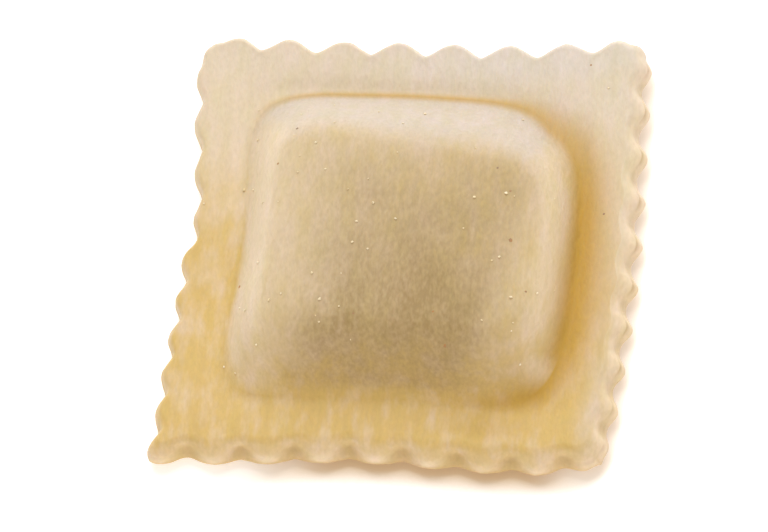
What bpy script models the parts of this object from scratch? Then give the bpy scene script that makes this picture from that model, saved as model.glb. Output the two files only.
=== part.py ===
# A square raviolo of fresh egg pasta, lying flat with its filled side up.
# It is one closed solid: two sheets of dough pressed together round the filling.
# Metres, +Z up. The origin is on the table, in the middle of the footprint.
# +X runs along the near edge and +Y away from it.

import math
from collections import namedtuple

import bpy
import bmesh
from mathutils import Vector

MM = 0.001

# One cut side, taken anticlockwise. The bow is how far the side stands out of the straight
# line between its corners, at a quarter, a half and three quarters of its length.
# "flutes" counts the waves of the cutter along the side, "lead" is the part of a wave
# before the first crest, and "uneven" bunches the waves. "slip" is the step outwards, half
# way along, where the cutter was lifted and set down again. "crest" is the waves' shape,
# broad under 1 and narrow over it, and "fade" the width of rim over which they die away.
Side = namedtuple("Side", "bow flutes lead uneven depth slip crest fade")
NEAR = Side(bow=(-0.10 * MM, -0.35 * MM, 0.40 * MM), flutes=8.3, lead=0.13, uneven=0.0,
            depth=0.62 * MM, slip=0.0, crest=0.8, fade=1.7 * MM)
RIGHT = Side(bow=(0.70 * MM, 0.90 * MM, 0.30 * MM), flutes=10.0, lead=0.19, uneven=-0.09,
             depth=0.52 * MM, slip=0.0, crest=1.2, fade=1.0 * MM)
FAR = Side(bow=(-1.60 * MM, -1.40 * MM, -1.05 * MM), flutes=8.1, lead=0.47, uneven=0.0,
           depth=0.70 * MM, slip=0.0, crest=0.75, fade=1.2 * MM)
LEFT = Side(bow=(-0.45 * MM, -1.25 * MM, -0.60 * MM), flutes=9.94, lead=0.20, uneven=0.24,
            depth=0.42 * MM, slip=0.85 * MM, crest=0.95, fade=1.1 * MM)
SIDES = (NEAR, RIGHT, FAR, LEFT)
SIDE_LENGTH = 45.0 * MM
RIM_WIDTH = SIDE_LENGTH / 8.0
SLIP_SPREAD = 0.07           # share of a side that the step of a slip takes up

# One corner of the cut outline. "sharp" is the power of its rounding, higher being squarer,
# "ear" how far it stands out beyond the mean line, "reach" the stretch of outline that the
# ear takes up, and "curl" how far the corner lifts off the table.
Corner = namedtuple("Corner", "x y sharp ear reach curl")
NEAR_LEFT = Corner(x=-22.7 * MM, y=-21.9 * MM, sharp=34, ear=1.20 * MM, reach=1.3 * MM, curl=-0.07 * MM)
NEAR_RIGHT = Corner(x=21.6 * MM, y=-22.1 * MM, sharp=20, ear=0.45 * MM, reach=2.0 * MM, curl=0.0)
FAR_RIGHT = Corner(x=22.4 * MM, y=23.35 * MM, sharp=13, ear=0.55 * MM, reach=2.5 * MM, curl=0.50 * MM)
FAR_LEFT = Corner(x=-22.7 * MM, y=23.05 * MM, sharp=10, ear=0.95 * MM, reach=3.2 * MM, curl=0.25 * MM)
CORNERS = (NEAR_LEFT, NEAR_RIGHT, FAR_RIGHT, FAR_LEFT)

# The section of the cut on one side: how far the upper face ends inside the lower edge, how
# round the slope between them is (1 a plain bevel, 2 round, more is squarer), the share of
# the waves that the upper edge keeps, how far the two sheets part on the crests, and how far
# the valleys run out at the foot.
Cut = namedtuple("Cut", "inset roundness upper gape fill")
CUTS = (Cut(inset=1.75 * MM, roundness=1.9, upper=0.40, gape=0.06 * MM, fill=0.80 * MM),
        Cut(inset=1.45 * MM, roundness=1.5, upper=0.36, gape=0.18 * MM, fill=0.10 * MM),
        Cut(inset=0.75 * MM, roundness=2.2, upper=0.95, gape=0.05 * MM, fill=0.0),
        Cut(inset=0.90 * MM, roundness=1.9, upper=0.80, gape=0.10 * MM, fill=0.10 * MM))
FILL_HEIGHT = 1.3 * MM       # height over the underside from which the valleys run out
CUT_ROWS = 6                 # loops of points up the cut
UPPER_SPREAD = 1.3 * MM      # drop below the upper edge at which the waves reach full depth
SEAM_HEIGHT = 1.15 * MM      # seam between the two sheets, over the rim's underside
SEAM_WIDTH = 0.35 * MM
FOOT_HEIGHT = 0.30 * MM      # the cut's foot, which rounds under from here
FOOT_INSET = 0.28 * MM
BACK_INSET = 0.60 * MM       # where the flat underside of the rim begins

# The rim of two sheets pressed together.
RIM_UNDER = 0.7 * MM         # underside of the rim above the table
RIM_TOP = 3.1 * MM           # upper face of the rim above the table

# A rounded four-sided line on the sheet, by its corners, taken anticlockwise from the near
# left one: shares of the sheet's half width from -1 to 1, and the power of the rounding.
SHEET = tuple((u, v, corner.sharp) for (u, v), corner in zip(
    ((-1.0, -1.0), (1.0, -1.0), (1.0, 1.0), (-1.0, 1.0)), CORNERS))
CREASE = ((-0.755, -0.745, 7), (0.752, -0.745, 6), (0.752, 0.735, 3.2), (-0.735, 0.752, 6))
SHOULDER = ((-0.560, -0.490, 5), (0.600, -0.500, 5), (0.600, 0.340, 5), (-0.550, 0.500, 4))
BACK_EDGE = ((-0.730, -0.730, 6), (0.750, -0.740, 6), (0.750, 0.710, 5), (-0.730, 0.720, 6))
BACK_FOOT = ((-0.500, -0.500, 5), (0.580, -0.500, 5), (0.580, 0.470, 5), (-0.500, 0.470, 5))

# The pillow over the filling, with one value each for its near, right, far and left side.
PILLOW_RISE = 4.75 * MM      # from the crease up to the shoulder
DOME_RISE = 1.4 * MM         # further rise from the shoulder line to the crown
CREASE_DIP = (0.15 * MM, 0.35 * MM, 0.32 * MM, 0.10 * MM)
DIP_WIDTH = 0.38             # share of the rim over which the crease dips
SHOULDER_POWER = (1.5, 1.6, 1.30, 1.40)      # 1 is a straight slope, more is a rounder one
SOFT_FOOT = (0.45, 0.60, 0.10, 0.20)         # how gently the pillow rises there

COUNT = 256                  # points round the cut, about seven to each wave
OUTWARD_SPREAD = 3           # points to each side that set the cut's outward direction


def mix(first, second, share):
    return first + (second - first) * share


def smooth(value):
    value = min(max(value, 0.0), 1.0)
    return value * value * (3.0 - 2.0 * value)


# The square loop from (-1, -1), anticlockwise: the side, the share of it, and the point.
def square_loop(count):
    per_side = count // 4
    for side in range(4):
        for step in range(per_side):
            share = step / per_side
            run = 2.0 * share - 1.0
            yield side, share, ((run, -1.0), (1.0, run), (-run, 1.0), (-1.0, -run))[side]


def side_bow(side, share):
    quarter, half, three_quarters = side.bow
    ends = (quarter + three_quarters) / math.sqrt(2.0)
    return ((ends + half) / 2.0 * math.sin(math.pi * share)
            + (quarter - three_quarters) / 2.0 * math.sin(2.0 * math.pi * share)
            + (ends - half) / 2.0 * math.sin(3.0 * math.pi * share))


# The step of a slip, which dies away over the rim and is nothing at the corners.
def side_slip(side, share, u, v):
    step = smooth((share - 0.5) / SLIP_SPREAD + 0.5) - share
    return side.slip * step * max(abs(u), abs(v)) ** 8


def corner_mix(across, along, values):
    near = mix(values[0], values[1], across)
    far = mix(values[3], values[2], across)
    return mix(near, far, along)


# A point of the sheet, from -1 to 1 both ways, laid on the table with its crooked sides.
def on_table(u, v):
    across = (1.0 + u) / 2.0
    along = (1.0 + v) / 2.0
    x = corner_mix(across, along, [corner.x for corner in CORNERS])
    y = corner_mix(across, along, [corner.y for corner in CORNERS])
    x += side_bow(RIGHT, along) * across - side_bow(LEFT, 1.0 - along) * (1.0 - across)
    x -= side_slip(LEFT, 1.0 - along, u, v) * (1.0 - across)
    y += side_bow(FAR, 1.0 - across) * along - side_bow(NEAR, across) * (1.0 - along)
    return Vector((x, y, 0.0))


# How far the rim is lifted off the table there by its curled corners.
def curl_at(u, v):
    across = (1.0 + u) / 2.0
    along = (1.0 + v) / 2.0
    lift = corner_mix(across * across, along * along, [corner.curl for corner in CORNERS])
    return lift * math.sqrt(u ** 8 + v ** 8)


# Blends one value for each side by where a point of the square stands.
def side_mix(square, values):
    u, v = square
    weights = [max(reach, 0.0) ** 4 for reach in (-v, u, v, -u)]
    return sum(weight * value for weight, value in zip(weights, values)) / sum(weights)


# A line's points on the sheet, with rounded corners.
def line_points(line, count):
    points = []
    for _, _, (u, v) in square_loop(count):
        power = corner_mix((1.0 + u) / 2.0, (1.0 + v) / 2.0, [corner[2] for corner in line])
        pull = (abs(u) ** power + abs(v) ** power) ** (-1.0 / power)
        across = (1.0 + u * pull) / 2.0
        along = (1.0 + v * pull) / 2.0
        points.append((corner_mix(across, along, [corner[0] for corner in line]),
                       corner_mix(across, along, [corner[1] for corner in line])))
    return points


# Height of the cutter's wave there, outwards from the mean line of the cut, and its crest.
def flute_at(side, share, square):
    wave = SIDES[side]
    phase = wave.flutes * share - wave.lead + wave.uneven * math.cos(2.0 * math.pi * share)
    crest = (1.0 + math.cos(2.0 * math.pi * phase)) / 2.0
    power = side_mix(square, [each.crest for each in SIDES])
    first, second = CORNERS[side], CORNERS[(side + 1) % 4]
    start = math.exp(-(share * SIDE_LENGTH / first.reach) ** 2)
    end = math.exp(-((1.0 - share) * SIDE_LENGTH / second.reach) ** 2)
    height = wave.depth * (2.0 * crest ** power - 1.0) * (1.0 - start - end)
    return height + first.ear * start + second.ear * end, crest


# Outward directions of the cut, averaged over a few points so that corners stay round.
def outward_directions(points):
    directions = []
    for index in range(COUNT):
        along = points[(index + OUTWARD_SPREAD) % COUNT] - points[index - OUTWARD_SPREAD]
        directions.append(Vector((along.y, -along.x, 0.0)).normalized())
    return directions


# What stays the same up and down the cut, for each point round it.
Station = namedtuple("Station", "square sheet mean outward flute crest")


def stations():
    sheet = line_points(SHEET, COUNT)
    mean = [on_table(u, v) for u, v in sheet]
    loop = []
    for (side, share, square), place, point, outward in zip(
            square_loop(COUNT), sheet, mean, outward_directions(mean)):
        flute, crest = flute_at(side, share, square)
        loop.append(Station(square, place, point, outward, flute, crest))
    return loop


# A loop of the cut, "turn" running from 0 at the upper edge to a quarter turn at the foot.
def cut_loop(turn):
    loop = []
    rim_height = RIM_TOP - RIM_UNDER
    for station in stations():
        inset, roundness, upper, gape, fill = [
            side_mix(station.square, values) for values in zip(*CUTS)]
        drop = max(math.cos(turn), 0.0) ** (2.0 / roundness)
        height = mix(FOOT_HEIGHT, rim_height, drop)
        inset *= 1.0 - math.sin(turn) ** (2.0 / roundness)
        waves = mix(upper, 1.0, smooth((rim_height - height) / UPPER_SPREAD))
        groove = gape * station.crest ** 2 * math.exp(-((height - SEAM_HEIGHT) / SEAM_WIDTH) ** 2)
        filled = fill * (1.0 - station.crest) * smooth((FILL_HEIGHT - height) / FILL_HEIGHT)
        offset = station.flute * waves + filled - inset - groove
        lift = RIM_UNDER + height + curl_at(*station.sheet)
        loop.append(station.mean + station.outward * offset + Vector((0.0, 0.0, lift)))
    return loop


# A loop under the foot of the cut, inset from the lower edge.
def foot_loop(inset):
    loop = []
    for station in stations():
        lift = RIM_UNDER + curl_at(*station.sheet)
        fill = side_mix(station.square, [cut.fill for cut in CUTS])
        offset = station.flute + fill * (1.0 - station.crest) - inset
        loop.append(station.mean + station.outward * offset + Vector((0.0, 0.0, lift)))
    return loop


# A loop of the rim's upper face, "rim" being 0 at the crease and 1 at the upper edge.
def rim_loop(rim, count):
    loop = []
    step = COUNT // count
    crease = line_points(CREASE, COUNT)
    for station, inner in list(zip(stations(), crease))[::step]:
        u = mix(inner[0], station.sheet[0], rim)
        v = mix(inner[1], station.sheet[1], rim)
        inset = side_mix(station.square, [cut.inset for cut in CUTS])
        upper = side_mix(station.square, [cut.upper for cut in CUTS])
        fade = side_mix(station.square, [side.fade for side in SIDES])
        waves = upper * math.exp(-((1.0 - rim) * RIM_WIDTH / fade) ** 2)
        dip = side_mix(station.square, CREASE_DIP) * smooth((DIP_WIDTH - rim) / DIP_WIDTH)
        lift = RIM_TOP - dip + curl_at(u, v)
        offset = station.flute * waves - inset * rim
        loop.append(on_table(u, v) + station.outward * offset + Vector((0.0, 0.0, lift)))
    return loop


# The middle of a line, and its half width each way.
def middle_of(line):
    return sum(corner[0] for corner in line) / 4.0, sum(corner[1] for corner in line) / 4.0


def half_widths(line):
    near_left, near_right, far_right, far_left = line
    return ((near_right[0] + far_right[0] - near_left[0] - far_left[0]) / 4.0,
            (far_left[1] + far_right[1] - near_left[1] - near_right[1]) / 4.0)


# Height of the pillow over its crease, "climb" being 0 at the crease and 1 at the shoulder.
def pillow_height(u, v, climb, square):
    middle_u, middle_v = middle_of(CREASE)
    half_u, half_v = half_widths(CREASE)
    across = (u - middle_u) / half_u
    along = (v - middle_v) / half_v
    dome = max(1.0 - across * across, 0.0) * max(1.0 - along * along, 0.0)
    rounded = 1.0 - (1.0 - climb) ** side_mix(square, SHOULDER_POWER)
    wall = mix(rounded, smooth(climb), side_mix(square, SOFT_FOOT))
    dip = side_mix(square, CREASE_DIP) * (1.0 - climb)
    return RIM_TOP - dip + PILLOW_RISE * wall + DOME_RISE * dome


# A loop part of the way between two lines on the sheet, with the height there.
def sheet_loop(first, second, share, count, height_at):
    loop = []
    squares = [square for _, _, square in square_loop(count)]
    ends = zip(squares, line_points(first, count), line_points(second, count))
    for square, (u0, v0), (u1, v1) in ends:
        u = mix(u0, u1, share)
        v = mix(v0, v1, share)
        loop.append(on_table(u, v) + Vector((0.0, 0.0, height_at(u, v, square))))
    return loop


# A line shrunk towards its middle.
def shrunk(line, share):
    middle_u, middle_v = middle_of(line)
    return tuple((mix(middle_u, u, share), mix(middle_v, v, share), sharp)
                 for u, v, sharp in line)


# The loops over the upper face, from the cut inwards, with fewer points as they shrink.
def upper_loops():
    loops = [rim_loop(0.86, COUNT)]
    for rim in (0.66, 0.40, 0.18):
        loops.append(rim_loop(rim, COUNT // 2))
    for climb in (0.0, 0.14, 0.30, 0.46, 0.64, 0.82, 1.0):
        loops.append(sheet_loop(CREASE, SHOULDER, climb, COUNT // 2,
                                lambda u, v, square: pillow_height(u, v, climb, square)))
    for share, count in ((0.85, COUNT // 4), (0.68, COUNT // 4), (0.50, COUNT // 4),
                         (0.34, COUNT // 8), (0.17, COUNT // 16)):
        loops.append(sheet_loop(shrunk(SHOULDER, share), SHOULDER, 0.0, count,
                                lambda u, v, square: pillow_height(u, v, 1.0, square)))
    return loops


# The loops under the raviolo, from the cut inwards to the flat patch that it rests on.
def under_loops():
    loops = [foot_loop(FOOT_INSET), foot_loop(BACK_INSET)]
    for share in (0.5, 1.0):
        loops.append(sheet_loop(SHEET, BACK_EDGE, share, COUNT // 2,
                                lambda u, v, square: RIM_UNDER + curl_at(u, v) * (1.0 - share)))
    for share in (0.25, 0.5, 0.75, 1.0):
        loops.append(sheet_loop(BACK_EDGE, BACK_FOOT, share, COUNT // 4,
                                lambda u, v, square: RIM_UNDER * (1.0 - smooth(share))))
    return loops


# The loops up the slanting cut, from its foot to the upper edge.
def cut_loops():
    return [cut_loop(math.pi / 2.0 * row / CUT_ROWS) for row in range(CUT_ROWS, -1, -1)]


# Faces between two loops of the same count, or from a loop to one of half its count.
def join_loops(mesh, outer, inner):
    count = len(inner)
    if len(outer) == count:
        for index in range(count):
            after = (index + 1) % count
            mesh.faces.new((outer[index], outer[after], inner[after], inner[index]))
        return
    for index in range(count):
        after = (index + 1) % count
        start = outer[2 * index]
        middle = outer[2 * index + 1]
        end = outer[(2 * index + 2) % len(outer)]
        mesh.faces.new((start, middle, inner[index]))
        mesh.faces.new((middle, inner[after], inner[index]))
        mesh.faces.new((middle, end, inner[after]))


# The solid stands on the table with the middle of its footprint over the origin.
def centre_footprint(mesh):
    middle = Vector((0.0, 0.0, 0.0))
    for axis in (0, 1):
        places = [vertex.co[axis] for vertex in mesh.verts]
        middle[axis] = (min(places) + max(places)) / 2.0
    bmesh.ops.translate(mesh, verts=mesh.verts, vec=-middle)


def ravioli_mesh():
    mesh = bmesh.new()
    loops = list(reversed(under_loops())) + cut_loops() + upper_loops()
    rings = [[mesh.verts.new(point) for point in loop] for loop in loops]
    for lower, upper in zip(rings, rings[1:]):
        if len(lower) < len(upper):
            join_loops(mesh, upper, lower)
        else:
            join_loops(mesh, lower, upper)
    mesh.faces.new(rings[0])
    crown = mesh.verts.new(crown_point())
    last = rings[-1]
    for index, vertex in enumerate(last):
        mesh.faces.new((vertex, last[(index + 1) % len(last)], crown))
    bmesh.ops.recalc_face_normals(mesh, faces=mesh.faces)
    centre_footprint(mesh)
    return mesh


def crown_point():
    u, v = middle_of(SHOULDER)
    return on_table(u, v) + Vector((0.0, 0.0, pillow_height(u, v, 1.0, (1.0, 0.0))))


def dough_material():
    material = bpy.data.materials.new("eggPasta")
    material.use_nodes = True
    shader = material.node_tree.nodes["Principled BSDF"]
    shader.inputs["Base Color"].default_value = (0.72, 0.53, 0.28, 1.0)
    shader.inputs["Roughness"].default_value = 0.62
    shader.inputs["Metallic"].default_value = 0.0
    return material


def clear_scene():
    for item in list(bpy.data.objects):
        bpy.data.objects.remove(item, do_unlink=True)


def main():
    clear_scene()
    shape = ravioli_mesh()
    data = bpy.data.meshes.new("ravioli")
    shape.to_mesh(data)
    shape.free()
    ravioli = bpy.data.objects.new("ravioli", data)
    bpy.context.scene.collection.objects.link(ravioli)
    data.materials.append(dough_material())
    data.shade_smooth()
    data.set_sharp_from_angle(angle=math.radians(50.0))


main()
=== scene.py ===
import math
import random

import bmesh
import bpy
import numpy as np
from mathutils import Matrix, Quaternion, Vector, noise


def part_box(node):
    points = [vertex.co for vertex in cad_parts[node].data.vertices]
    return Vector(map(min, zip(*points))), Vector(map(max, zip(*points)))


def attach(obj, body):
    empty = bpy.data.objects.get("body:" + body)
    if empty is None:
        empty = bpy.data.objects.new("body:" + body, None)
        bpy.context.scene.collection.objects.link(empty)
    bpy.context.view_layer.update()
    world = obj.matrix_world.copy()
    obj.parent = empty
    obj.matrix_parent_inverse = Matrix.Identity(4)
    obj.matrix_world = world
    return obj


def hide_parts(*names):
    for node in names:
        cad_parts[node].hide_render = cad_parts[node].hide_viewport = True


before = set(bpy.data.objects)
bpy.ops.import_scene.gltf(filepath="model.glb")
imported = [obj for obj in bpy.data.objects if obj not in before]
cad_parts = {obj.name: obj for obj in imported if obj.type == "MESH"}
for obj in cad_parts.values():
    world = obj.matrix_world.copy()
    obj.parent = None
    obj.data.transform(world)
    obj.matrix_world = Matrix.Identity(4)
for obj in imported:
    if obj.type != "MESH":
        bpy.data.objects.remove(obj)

# A square raviolo of fresh egg pasta, lying on a pale table with its pillow up.
# Shapes are worked out in mm and turned to metres as each mesh is made.
mm = 0.001
scene = bpy.context.scene
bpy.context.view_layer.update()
low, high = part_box("ravioli")

# The cut outline. Sides run anticlockwise from the near one, and each corner stands at the
# start of its side. bow: bulge at a quarter, a half and three quarters of the side.
# lead: part of a wave before the first crest. bunch: how the waves crowd together.
# ear and reach: how far a corner's lobe stands out, and the stretch of cut that it takes up.
# slip: step outwards half way along, where the cutter was set down again.
cutLine = {
    "sides": (
        {"bow": (-0.10, -0.35, 0.40), "waves": 8.3, "lead": 0.13, "bunch": 0.0,
         "depth": 0.62, "slip": 0.0},
        {"bow": (0.70, 0.90, 0.30), "waves": 10.0, "lead": 0.19, "bunch": -0.09,
         "depth": 0.52, "slip": 0.0},
        {"bow": (-1.60, -1.40, -1.05), "waves": 8.1, "lead": 0.47, "bunch": 0.0,
         "depth": 0.70, "slip": 0.0},
        {"bow": (-0.45, -1.25, -0.60), "waves": 9.94, "lead": 0.20, "bunch": 0.24,
         "depth": 0.42, "slip": 0.85},
    ),
    "corners": (
        {"place": (-22.7, -21.9), "sharp": 34, "ear": 1.20, "reach": 1.3, "curl": -0.07},
        {"place": (21.6, -22.1), "sharp": 20, "ear": 0.45, "reach": 2.0, "curl": 0.0},
        {"place": (22.4, 23.35), "sharp": 13, "ear": 0.55, "reach": 2.5, "curl": 0.50},
        {"place": (-22.7, 23.05), "sharp": 10, "ear": 0.95, "reach": 3.2, "curl": 0.25},
    ),
    "sideLength": 45.0,
    "rimWidth": 5.625,       # how wide the rim is, roughly
    "slipSpread": 0.07,      # share of a side that the slip takes up
    "outwardParts": 85,      # outward directions are averaged over one part of so many
    "waveFade": (1.7, 1.0, 1.2, 1.1),        # how far in from the cut the waves are felt
    "waveRound": (0.8, 1.2, 0.75, 0.95),     # under 1 the crests are broad, over 1 narrow
}

# Rounded four-sided lines on the sheet: each corner's place as a share of the half width,
# and the power of its rounding.
sheetLine = tuple((u, v, corner["sharp"]) for (u, v), corner in zip(
    ((-1, -1), (1, -1), (1, 1), (-1, 1)), cutLine["corners"]))
creaseLine = ((-0.755, -0.745, 7), (0.752, -0.745, 6), (0.752, 0.735, 3.2), (-0.735, 0.752, 6))
shoulderLine = ((-0.560, -0.490, 5), (0.600, -0.500, 5), (0.600, 0.340, 5), (-0.550, 0.500, 4))
backEdge = ((-0.730, -0.730, 6), (0.750, -0.740, 6), (0.750, 0.710, 5), (-0.730, 0.720, 6))
backFoot = ((-0.500, -0.500, 5), (0.580, -0.500, 5), (0.580, 0.470, 5), (-0.500, 0.470, 5))

dough = {
    "rings": 112,            # rings of faces over the upper side
    "creaseRing": 82,
    "shoulderRing": 58,
    "backRings": 56,
    "backEdgeRing": 40,
    "backFootRing": 26,
    "rimUnder": 0.7,         # underside of the rim over the table
    "rimTop": 3.1,           # upper face of the rim over the table
    "pillowRise": 4.75,      # from the crease up to the shoulder
    "domeRise": 1.4,         # and on from the shoulder to the crown
    # One value each for the near, right, far and left side of the pillow.
    "shoulderPower": (1.5, 1.6, 1.30, 1.40),  # 1 is a straight slope, more is a rounder one
    "creaseDip": (0.15, 0.35, 0.32, 0.10),
    "dipWidth": 0.38,        # share of the rim over which the crease dips
    "softFoot": (0.45, 0.60, 0.10, 0.20),    # how gently the pillow rises there
    "softening": 9,          # rings over which the pillow's foot and shoulder are rounded
    "softSteps": 9,          # heights that are averaged for it
    "softMiddle": 0.55,      # and how much the middle ones count, less being more
    "lumps": ((7.0, 0.10), (2.6, 0.022), (0.9, 0.006)),  # size and height of the unevenness
    "fillingLumps": (3.6, 0.07, 5),          # size, height and seed
    "fillingReach": 1.4,     # how soon they fade down the pillow
    "grainRidge": (0.45, 6.0, 0.009, 6),     # width, length, height and seed
    "smoothEdge": 0.8,       # how much smoother the dough is by the cut
}

# The cut leans in as it rises and rounds over into the upper face, like a quarter of a round
# or squarish ring. Four values stand for the near, right, far and left side.
cutEdge = {
    "rows": 18,              # rows of points down the cut
    "topInset": (1.75, 1.45, 0.75, 0.90),    # how far in the upper face ends
    "roundness": (1.9, 1.5, 2.2, 1.9),       # 1 is a plain bevel, 2 round, more is squarer
    "upperWaves": (0.40, 0.36, 0.95, 0.80),  # share of the waves' depth that the upper edge has
    "upperReach": 1.3,       # drop below the upper edge at which the waves are at full depth
    "seamGape": (0.06, 0.18, 0.05, 0.10),    # how far the two sheets part on the crests
    "valleyFill": (0.80, 0.10, 0.00, 0.10),  # how far the valleys run out at the foot
    "fillHeight": 1.3,       # and the height from which they do
    "seamHeight": 1.15,      # height of the seam over the rim's underside
    "seamWidth": 0.17,
    "foot": ((0.30, 0.0), (0.14, 0.07), (0.01, 0.28)),  # height and inset of the lowest rows
    "backInset": 0.6,
    "rough": (0.9, 0.07, 9),                 # the cutter's roughness: size, height and seed
    "halfDown": (0.95, 0.55),                # height of the middle of the cut, and its spread
    "footSpread": 0.5,
}


def mixed(first, second, share):
    return first + (second - first) * share


def eased(value):
    value = np.clip(value, 0.0, 1.0)
    return value * value * (3.0 - 2.0 * value)


# Runs from 0 at the start to 1 past the length, which is below 0 to run backwards.
def ramp(value, start, length):
    return eased((value - start) / length)


def cornerMix(across, along, values):
    near = mixed(values[0], values[1], across)
    far = mixed(values[3], values[2], across)
    return mixed(near, far, along)


# Blends one value for each side by where a point of the square stands.
def sideMix(u, v, values):
    weights = [np.maximum(reach, 0.0) ** 4 for reach in (-v, u, v, -u)]
    return sum(weight * value for weight, value in zip(weights, values)) / sum(weights)


def sideBow(side, share):
    quarter, half, threeQuarters = side["bow"]
    ends = (quarter + threeQuarters) / math.sqrt(2.0)
    return ((ends + half) / 2.0 * np.sin(math.pi * share)
            + (quarter - threeQuarters) / 2.0 * np.sin(2.0 * math.pi * share)
            + (ends - half) / 2.0 * np.sin(3.0 * math.pi * share))


def sideSlip(side, share, u, v):
    step = eased((share - 0.5) / cutLine["slipSpread"] + 0.5) - share
    return side["slip"] * step * np.maximum(abs(u), abs(v)) ** 8


# A place on the sheet, from -1 to 1 both ways, laid out with its crooked sides.
def onTable(u, v):
    near, right, far, left = cutLine["sides"]
    across = (1.0 + u) / 2.0
    along = (1.0 + v) / 2.0
    x = cornerMix(across, along, [corner["place"][0] for corner in cutLine["corners"]])
    y = cornerMix(across, along, [corner["place"][1] for corner in cutLine["corners"]])
    x = x + sideBow(right, along) * across - sideBow(left, 1.0 - along) * (1.0 - across)
    x = x - sideSlip(left, 1.0 - along, u, v) * (1.0 - across)
    y = y + sideBow(far, 1.0 - across) * along - sideBow(near, across) * (1.0 - along)
    return np.stack((x, y), axis=-1)


# How far the rim is lifted off the table there by its curled corners.
def curlAt(u, v):
    across = (1.0 + u) / 2.0
    along = (1.0 + v) / 2.0
    curls = [corner["curl"] for corner in cutLine["corners"]]
    return cornerMix(across ** 2, along ** 2, curls) * np.sqrt(u ** 8 + v ** 8)


# A point of the square drawn in to a rounded line, as a place on the sheet.
def onLine(line, u, v):
    power = cornerMix((1.0 + u) / 2.0, (1.0 + v) / 2.0, [corner[2] for corner in line])
    pull = (abs(u) ** power + abs(v) ** power) ** (-1.0 / power)
    across = (1.0 + u * pull) / 2.0
    along = (1.0 + v * pull) / 2.0
    return (cornerMix(across, along, [corner[0] for corner in line]),
            cornerMix(across, along, [corner[1] for corner in line]))


def lineMiddle(line):
    return sum(corner[0] for corner in line) / 4.0, sum(corner[1] for corner in line) / 4.0


# Places round the square loop, 0 to 4 from the near left corner, as points of the square.
def squarePoints(place):
    side = np.floor(place).astype(int) % 4
    run = 2.0 * (place - np.floor(place)) - 1.0
    u = np.choose(side, (run, np.ones_like(run), -run, -np.ones_like(run)))
    v = np.choose(side, (-np.ones_like(run), run, np.ones_like(run), -run))
    return u, v


def placeOf(u, v):
    tests = [v <= -1.0, u >= 1.0, v >= 1.0]
    runs = [(1.0 + u) / 2.0, 1.0 + (1.0 + v) / 2.0, 2.0 + (1.0 - u) / 2.0]
    return np.select(tests, runs, 3.0 + (1.0 - v) / 2.0) % 4.0


# How far the cutter's wave stands out of the mean line of the cut, and its crest, 0 to 1.
def waveAt(place):
    side = np.floor(place).astype(int) % 4
    share = place - np.floor(place)
    value = {key: np.array([each[key] for each in cutLine["sides"]])[side]
             for key in ("waves", "lead", "bunch", "depth")}
    power = sideMix(*squarePoints(place), cutLine["waveRound"])
    ears = np.array([corner["ear"] for corner in cutLine["corners"]])
    phase = value["waves"] * share - value["lead"] + value["bunch"] * np.cos(2 * math.pi * share)
    crest = (1.0 + np.cos(2.0 * math.pi * phase)) / 2.0
    reach = np.array([corner["reach"] for corner in cutLine["corners"]]) / cutLine["sideLength"]
    start = np.exp(-(share / reach[side]) ** 2)
    end = np.exp(-((1.0 - share) / reach[(side + 1) % 4]) ** 2)
    height = value["depth"] * (2.0 * crest ** power - 1.0) * (1.0 - start - end)
    return height + ears[side] * start + ears[(side + 1) % 4] * end, crest


# How much the waves are felt on the rim, which is 0 at the crease and 1 at the cut.
def waveFade(u, v, rim):
    return np.exp(-((1.0 - rim) * cutLine["rimWidth"] / sideMix(u, v, cutLine["waveFade"])) ** 2)


# Outward directions round the cut, averaged so that the corners stay round.
def outwardDirections(count):
    u, v = squarePoints(np.arange(count) * 4.0 / count)
    points = onTable(*onLine(sheetLine, u, v))
    spread = count // cutLine["outwardParts"]
    along = np.roll(points, -spread, axis=0) - np.roll(points, spread, axis=0)
    outward = np.stack((along[:, 1], -along[:, 0]), axis=-1)
    return outward / np.linalg.norm(outward, axis=1, keepdims=True)


outwards = outwardDirections(dough["rings"] * 8)


def outwardAt(place):
    steps = np.arange(len(outwards) + 1) * 4.0 / len(outwards)
    closed = np.vstack((outwards, outwards[:1]))
    return np.stack([np.interp(place, steps, closed[:, axis]) for axis in (0, 1)], axis=-1)


# Gentle random unevenness between -1 and 1. size is the size of a lump in mm.
def unevenness(points, size, seed):
    shift = Vector((seed * 17.3, seed * 5.9, seed * 11.7))
    across, along, up = size if isinstance(size, tuple) else (size, size, size)
    return np.array([noise.noise(Vector((x / across, y / along, z / up)) + shift)
                     for x, y, z in points])


# A square of rings of points, as ring numbers and points of the square.
def ringGrid(rings):
    steps = np.arange(-rings, rings + 1, dtype=float)
    v, u = np.meshgrid(steps, steps, indexing="ij")
    ring = np.maximum(abs(u), abs(v))
    u = np.where(ring > 0, u / np.maximum(ring, 1.0), 1.0)
    v = np.where(ring > 0, v / np.maximum(ring, 1.0), 0.0)
    return ring.ravel(), u.ravel(), v.ravel()


# Spreads the rings over the lines, from the middle outwards. Gives the place on the sheet
# and how far each point has come in each band.
def spreadRings(ring, u, v, lines, lineRings):
    middle = lineMiddle(lines[0])
    first = ring / lineRings[0]
    sheetU, sheetV = [mixed(middle[axis], onLine(lines[0], u, v)[axis], first) for axis in (0, 1)]
    shares = [np.clip(first, 0.0, 1.0)]
    for number in range(1, len(lines)):
        share = (ring - lineRings[number - 1]) / (lineRings[number] - lineRings[number - 1])
        inner = onLine(lines[number - 1], u, v)
        outer = onLine(lines[number], u, v)
        reached = share > 0.0
        sheetU = np.where(reached, mixed(inner[0], outer[0], share), sheetU)
        sheetV = np.where(reached, mixed(inner[1], outer[1], share), sheetV)
        shares.append(np.clip(share, 0.0, 1.0))
    return sheetU, sheetV, shares


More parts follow.
